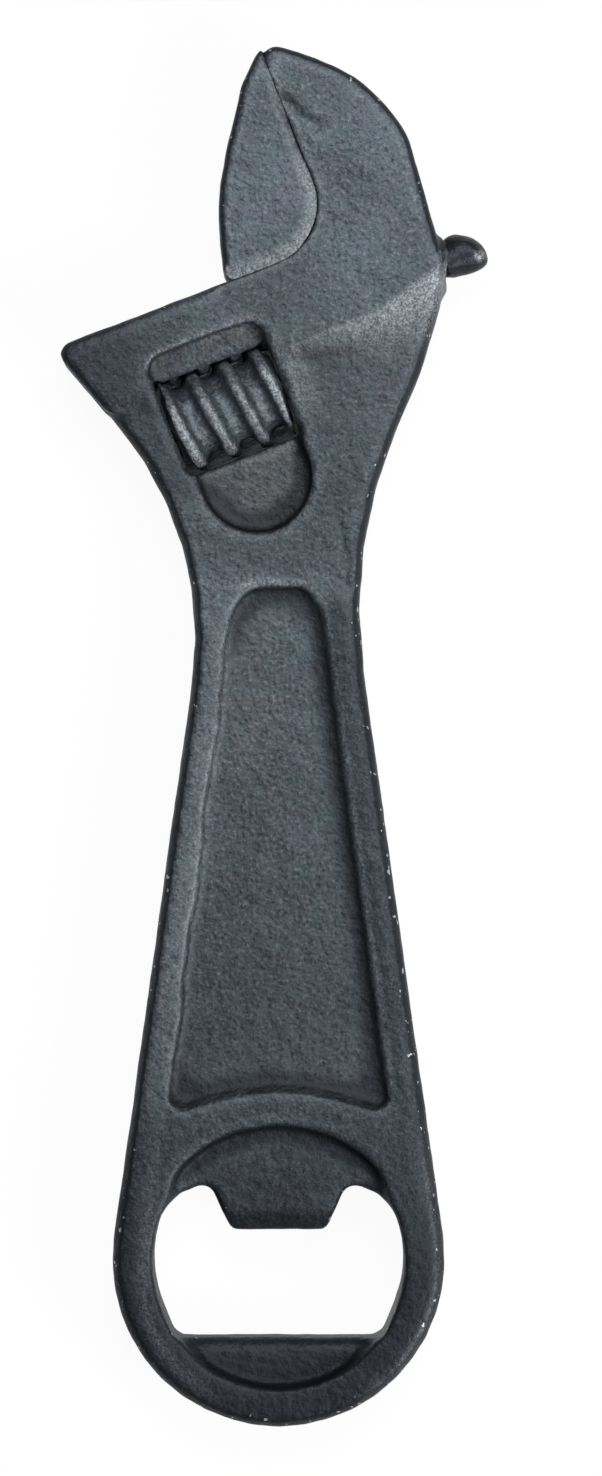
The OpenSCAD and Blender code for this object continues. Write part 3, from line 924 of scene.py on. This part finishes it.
    def score_creases(self):
        """Creases run beside the seam, and veins over the neck."""
        on_face = self.front & (self.face > NECK_H - 0.4)
        for corners, width, depth in CREASES:
            self.lift -= on_face * depth * bell(off_line(self.along, self.up, corners), width)

    def mark(self):
        """Stores where the casting is dusty, where painted highlights and painted shade go, and
        where the handle faces right, which gathers painted glints.
        """
        store(self.piece, "dust", self.dust())
        store(self.piece, "painted_highlight", self.highlight_on_head() + self.highlight_on_handle())
        store(self.piece, "painted_shade", self.painted_shade())
        # The right-facing side of the handle, where painted glints gather
        to_right = ramp(normals_of(self.piece)[:, 0], 0.1, 0.6)
        store(self.piece, "lit_side", np.where(self.y < NECK_Y, to_right, 0))

    def dust(self):
        """Dust lies in the recess, on the ledge, and at the panel's upper left and lower end."""
        in_recess = self.front & (self.from_worm < 8) & (self.face < NECK_H - 1.4)
        in_recess &= np.abs(self.up + 25.5) < 7
        upper_left = DUST["upper left"] * ramp(-self.x, -3, 4) * ramp(self.y, -14, 4)
        lower_end = DUST["lower end"] * fade(self.y, -45, -38)
        on_floor = np.where(self.in_panel, upper_left + lower_end, 0)
        return np.where(in_recess | self.on_ledge, 1.0, on_floor)

    def highlight_on_head(self):
        """Painted highlights on the slope, on the ledge's lip and around the worm."""
        on_slope = ramp(self.below, -0.9, 0.3) * fade(self.below, 0.1 * self.run, 1.3 * self.run)
        painted_highlight = PAINTED_HIGHLIGHT["slope"] * self.front * self.wide * on_slope
        at_lip = self.front & (self.face > HEAD_H - 0.6) & (self.from_worm < WORM_HALF)
        at_lip &= np.abs(self.up + LEDGE_TOP - 0.25) < 0.45
        painted_highlight += PAINTED_HIGHLIGHT["ledge lip"] * at_lip
        painted_highlight += PAINTED_HIGHLIGHT["pocket"] * (self.face < NECK_H - 0.3) * in_pocket(self.points)
        beside = fade(np.abs(self.along + 10.8), 0.6, 2.4) * band(self.up, (-22, -17), (-13, -10))
        painted_highlight += PAINTED_HIGHLIGHT["beside worm"] * (self.front & (self.face > NECK_H - 0.5)) * beside
        return painted_highlight

    def highlight_on_handle(self):
        """Painted highlights along the panel's left wall, above the panel and on the ring."""
        on_wall = self.left & (self.face > NECK_H - 1.3) & (self.face < NECK_H - 0.1)
        on_wall &= (np.abs(self.x) < 12) & (in_hollows(self.points) > 0.5)
        painted_highlight = PAINTED_HIGHLIGHT["left wall"] * on_wall * band(self.y, (-34, -8), (12, 17))
        over_panel = fade(np.abs(self.y - 19.9), 0.3, 0.8) * band(self.x, (-8, -5), (2, 5))
        painted_highlight += PAINTED_HIGHLIGHT["over panel"] * (self.front & (self.face > NECK_H - 0.35)) * over_panel
        # The ring gets painted highlights along its inner crest on the left and its outer edge on
        # the right
        past_ring = self.y - RING[1]
        crest = bell(self.inset - 4.0 - 0.1 * np.minimum(past_ring, 0), 0.8) * ramp(-self.x, 6, 13)
        edge = bell(self.inset - 0.9, 0.6) * ramp(self.x, 8, 16)
        on_ring = (self.front & (self.face > NECK_H - 1.0)) * fade(past_ring, 6, 22)
        return painted_highlight + on_ring * (PAINTED_HIGHLIGHT["ring crest"] * crest + PAINTED_HIGHLIGHT["ring edge"] * edge)

    def painted_shade(self):
        """Painted shade, darkest on the ring. Where places overlap, the darkest one counts."""
        rims = PAINTED_SHADE["left rim"] * ramp(-self.x - self.half, *RIM_INNER_EDGE)
        rims += PAINTED_SHADE["right rim"] * ramp(self.x - self.half, *RIM_INNER_EDGE)
        rims *= fade(self.y, 14, 24)
        floor = (PAINTED_SHADE["panel"] + PAINTED_SHADE["low panel"] * ramp(-self.y, -5, 42)) * self.in_panel
        neck = PAINTED_SHADE["neck"] * ramp(self.y, 18, 24) * fade(self.up, -16, -10)
        wing = PAINTED_SHADE["wing"] * ramp(-self.along, 2, 10)
        wing += PAINTED_SHADE["wing tip"] * ramp(-self.along, 16, 34)
        wing *= ramp(self.y, 24, 34)
        ring = PAINTED_SHADE["ring"] + PAINTED_SHADE["ring right"] * ramp(self.x, -8, 8)
        ring *= ramp(-self.y, 17, 76)
        ledge = PAINTED_SHADE["ledge foot"] * self.ledge_foot + PAINTED_SHADE["ledge"] * self.on_ledge
        return np.maximum.reduce((rims, floor, neck, wing, ring, ledge))

    def calm(self):
        """1 where walls and hollows stay as light as the rest, 0 where they are dark."""
        on_slope = self.wide * (np.abs(self.below) < 2)
        left_foot = fade(np.abs(np.abs(self.x) - self.half + 5.4), 1.2, 2.8) * self.left
        left_foot *= band(self.y, (-46, -40), (8, 15))
        at_seam = beside_seam(self.along, self.up, self.face) * (self.along > -15)
        left_wall = CALM["left wall"] * self.left_wall
        return np.maximum.reduce((on_slope, left_wall, CALM["left foot"] * left_foot, at_seam))


class JawSkin(Skin):
    """The soft forms of the cast sliding jaw, and the marks that its finish reads."""

    def __init__(self, piece):
        super().__init__(piece)
        self.inside = -seam_distance(self.along, self.up) - JAW_FIT
        self.lower = fade(self.up, *UPPER_SEAM)
        self.at_edge = (self.face > JAW_H - EDGE_R - SLACK) & (self.up > 0)
        self.at_edge &= self.inside < SEAM_SLOPE

    def settle(self):
        """Gives the casting its soft forms."""
        self.slope_to_seam()
        self.close_seam()
        self.round_rail()
        self.place()

    def slope_to_seam(self):
        """The round edge beside the seam becomes a short shallow slope."""
        slope = (1 - np.clip(self.inside / SEAM_SLOPE, 0, 1)) ** 2
        wanted = JAW_H - SEAM_DIP * slope * fade(self.up, 20, 23)
        filled = np.maximum(wanted - self.face, 0) * fade(self.up, 23, 25.5)
        self.lift += np.where(self.at_edge, filled, 0)

    def close_seam(self):
        """A thin lip on the lower stretch covers the gap of the fit, and the tip closes up too."""
        tip = ramp(self.up, 22.5, 25.5) * fade(self.inside, 0.8, 4)
        lip = LIP * self.at_edge * self.lower * fade(self.inside, 0, 0.8)
        self.slide(lip + TIP_CLOSE * tip, across_seam(self.along, self.up))
        self.slide(TIP_RISE * tip, UP)

    def round_rail(self):
        """The rail's outer end tapers to a round tip."""
        on_rail = self.up < -2
        under = ramp(-self.up - RAIL_DROP, 0.2, 2.9)
        below = RAIL_THINNER * ramp(self.along, 11.2, 12.6)
        below -= RAIL_SWELL * ramp(self.along, 13, 15.5)
        below += RAIL_SWELL * ramp(self.along, 16.2, 17.5)
        above = RAIL_ROUND * ramp(self.along, 13, 14.8)
        self.slide(on_rail * (under * below + (1 - under) * above), UP)
        self.slide(on_rail * RAIL_LONGER * ramp(self.along, 14.5, 17.8), ALONG)

    def mark(self):
        """Stores where painted highlights and painted shade go."""
        rack = on_rack(self.along, self.up)
        near_seam = self.lower * (1 - np.clip(self.inside / 2.2, 0, 1))
        painted_highlight = PAINTED_HIGHLIGHT["jaw edge"] * (self.at_edge & self.front) * near_seam
        painted_highlight = np.where(rack, PAINTED_HIGHLIGHT["rack"], painted_highlight)
        # A painted highlight on the rail's tip
        painted_highlight += PAINTED_HIGHLIGHT["rail tip"] * self.front * spot(self.along, self.up, (16.9, -9.0), 0.4)
        store(self.piece, "painted_highlight", painted_highlight)
        # Painted shade on the rail's end and on the rack
        rail_end = (self.along > 10) & (self.up < -2)
        painted_shade = np.select((rail_end, rack), (PAINTED_SHADE["rail end"], PAINTED_SHADE["rack"]), 0.0)
        store(self.piece, "painted_shade", painted_shade)


class WRENCH_OT_body(bpy.types.Operator):
    """Cast body with the handle, the opener ring and the fixed jaw"""

    bl_idname = "wrench.cast_body"
    bl_label = "Cast body"

    def execute(self, context):
        shape = context.scene.wrench_shape
        piece = copy_of("body", "cast_body")
        widen_hollows(piece)
        remesh(piece, shape.voxel)
        skin = BodySkin(piece)
        skin.settle()
        skin.mark()

        points = points_of(piece)
        along, up = in_head(points)
        at_tip = ramp(up, 15, 20) * fade(along, 0.5, 3)
        kept = np.maximum(near_fits(points), 0.9 * at_tip)
        soft = melt(piece, "soft", 1 - kept, shape.rounding)
        melt(piece, "sunk", in_hollows(points), shape.rounding // 4)
        melt(piece, "molten", near_rims(points), 2 * shape.rounding)
        press_lumps(piece, "body", LUMP_SIZES, (shape.lumps, shape.crumbs), level=0.5, group=soft)

        calm = np.maximum(CALM["pocket"] * in_pocket(points_of(piece)), skin.calm())
        mark_relief(piece, near=14, far=40, depth=0.28, calm=calm)
        material = cast_iron("body iron", context.scene.wrench_finish)
        finish_piece(piece, material, "frame", "body")
        return {"FINISHED"}


class WRENCH_OT_sliding_jaw(bpy.types.Operator):
    """Sliding jaw with its rail"""

    bl_idname = "wrench.sliding_jaw"
    bl_label = "Sliding jaw"

    def execute(self, context):
        shape = context.scene.wrench_shape
        piece = copy_of("sliding_jaw", "cast_sliding_jaw")
        remesh(piece, shape.fine_voxel)
        skin = JawSkin(piece)
        skin.settle()
        skin.mark()

        settled = Skin(piece)
        along = settled.along
        up = settled.up
        tail = (along > 12.5) & (up < -1)
        at_tip = ramp(up, 14, 19) * fade(-along, 1.5, 5)
        on_jaw = ramp(up, 0.3, 1.4) * (1 - 0.95 * at_tip)
        soft = melt(piece, "soft", np.where(tail, 1, on_jaw), 2 * shape.rounding)
        melt(piece, "knob", np.where(tail, ramp(along, 13.2, 15.5), 0), 3 * shape.rounding)
        press_lumps(piece, "jaw", LUMP_SIZES, (shape.lumps, shape.crumbs), level=0.5, group=soft)

        at_seam = beside_seam(along, up, settled.face) * (up > 0)
        places = (tail, on_rack(along, up))
        calm = np.select(places, (CALM["rail end"], CALM["rack"]), at_seam)
        mark_relief(piece, near=36, far=90, depth=0.28, calm=calm)
        material = cast_iron("jaw iron", context.scene.wrench_finish)
        finish_piece(piece, material, "jaw", "sliding_jaw")
        return {"FINISHED"}


class WRENCH_OT_worm(bpy.types.Operator):
    """Thumb worm, with painted highlights on its thread"""

    bl_idname = "wrench.thumb_worm"
    bl_label = "Thumb worm"

    def execute(self, context):
        shape = context.scene.wrench_shape
        piece = copy_of("worm", "cast_worm")
        remesh(piece, shape.fine_voxel)
        skin = Skin(piece)
        radius = np.hypot(skin.up + WORM_DROP, skin.face)
        # Painted highlight on the thread: strongest on the crests and at the ends, weaker under the
        # ledge, and a little in the roots to lighten their shade
        at_ends = ramp(np.abs(skin.along - WORM_MID), 2, 6)
        at_ends = HIGHLIGHT_MIDDLE + (1 - HIGHLIGHT_MIDDLE) * at_ends
        by_thumb = 1 - SHELTERED * ramp(skin.up, -14, -10.5)
        crest = at_ends * by_thumb * ramp(radius, 5.8, 6.5)
        store(piece, "painted_highlight", PAINTED_HIGHLIGHT["thread root"] + PAINTED_HIGHLIGHT["thread crest"] * crest)
        soft = melt(piece, "soft", ramp(radius, 3.2, 4.0), 2 * shape.rounding)
        heights = (3 * shape.lumps, 2 * shape.crumbs)
        press_lumps(piece, "worm", WORM_LUMP_SIZES, heights, level=0.7, group=soft)

        mark_relief(piece, near=30, far=40, depth=0.3, calm=CALM["worm"])
        # Only a little painted shade in the thread's hollows
        material = cast_iron("worm iron", context.scene.wrench_finish, shade_and_pits=0.1)
        finish_piece(piece, material, "thumb_worm", "worm")
        return {"FINISHED"}


class WRENCH_OT_small_steel(bpy.types.Operator):
    """Steel finish of the worm's pin and spring"""

    bl_idname = "wrench.small_steel"
    bl_label = "Pin and spring"

    def execute(self, context):
        look = context.scene.wrench_finish
        for name in ("worm_pin", "worm_spring"):
            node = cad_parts[name]
            node.material_slots[0].material = turned_steel(name + " steel", look)
        return {"FINISHED"}


def area_lamp(name, place, aim, size, power):
    lamp = bpy.data.lights.new(name, "AREA")
    lamp.shape = "RECTANGLE"
    lamp.size, lamp.size_y = size
    lamp.energy = power
    holder = bpy.data.objects.new(name, lamp)
    bpy.context.scene.collection.objects.link(holder)
    holder.location = place
    holder.rotation_euler = (Vector(aim) - Vector(place)).to_track_quat("-Z", "Y").to_euler()


class WRENCH_OT_stage(bpy.types.Operator):
    """White table, soft lamps and the camera straight above"""

    bl_idname = "wrench.stage"
    bl_label = "Stage"

    def execute(self, context):
        scene = context.scene
        bpy.ops.object.select_all(action="DESELECT")
        bpy.ops.mesh.primitive_plane_add(size=TABLE_SIZE, location=(0, 0, TABLE_Z))
        table = context.active_object
        table.name = "table"
        table.data.materials.append(table_top("table white"))

        for lamp in LAMPS:
            area_lamp(*lamp)

        world = bpy.data.worlds.new("studio")
        world.use_nodes = True
        sky = world.node_tree.nodes["Background"]
        sky.inputs["Color"].default_value = SKY
        sky.inputs["Strength"].default_value = SKY_STRENGTH
        scene.world = world
        scene.view_settings.view_transform = "Standard"

        camera = bpy.data.cameras.new("camera")
        camera.sensor_fit = "VERTICAL"
        camera.sensor_height = SENSOR_HEIGHT
        camera.lens = LENS
        distance = SEEN_HEIGHT * LENS / SENSOR_HEIGHT
        holder = bpy.data.objects.new("camera", camera)
        scene.collection.objects.link(holder)
        holder.location = (*CAMERA_OVER, MID_Z * MM + distance)
        scene.camera = holder
        return {"FINISHED"}


class WRENCH_PT_panel(bpy.types.Panel):
    """Sizes, colours and the steps of the build"""

    bl_idname = "WRENCH_PT_panel"
    bl_label = "Cast wrench opener"
    bl_space_type = "VIEW_3D"
    bl_region_type = "UI"
    bl_category = "Wrench"

    def draw(self, context):
        for group in (context.scene.wrench_shape, context.scene.wrench_finish):
            for name in group.bl_rna.properties.keys():
                if name not in {"rna_type", "name"}:
                    self.layout.prop(group, name)
        for operator in OPERATORS:
            self.layout.operator(operator.bl_idname)


OPERATORS = (
    WRENCH_OT_body,
    WRENCH_OT_sliding_jaw,
    WRENCH_OT_worm,
    WRENCH_OT_small_steel,
    WRENCH_OT_stage,
)
CLASSES = (WrenchShape, WrenchFinish, *OPERATORS, WRENCH_PT_panel)


def register():
    for cls in CLASSES:
        bpy.utils.register_class(cls)
    bpy.types.Scene.wrench_shape = PointerProperty(type=WrenchShape)
    bpy.types.Scene.wrench_finish = PointerProperty(type=WrenchFinish)


def unregister():
    del bpy.types.Scene.wrench_finish
    del bpy.types.Scene.wrench_shape
    for cls in reversed(CLASSES):
        bpy.utils.unregister_class(cls)


def main():
    register()
    bpy.ops.wrench.cast_body()
    bpy.ops.wrench.sliding_jaw()
    bpy.ops.wrench.thumb_worm()
    bpy.ops.wrench.small_steel()
    bpy.ops.wrench.stage()


if __name__ == "__main__":
    main()
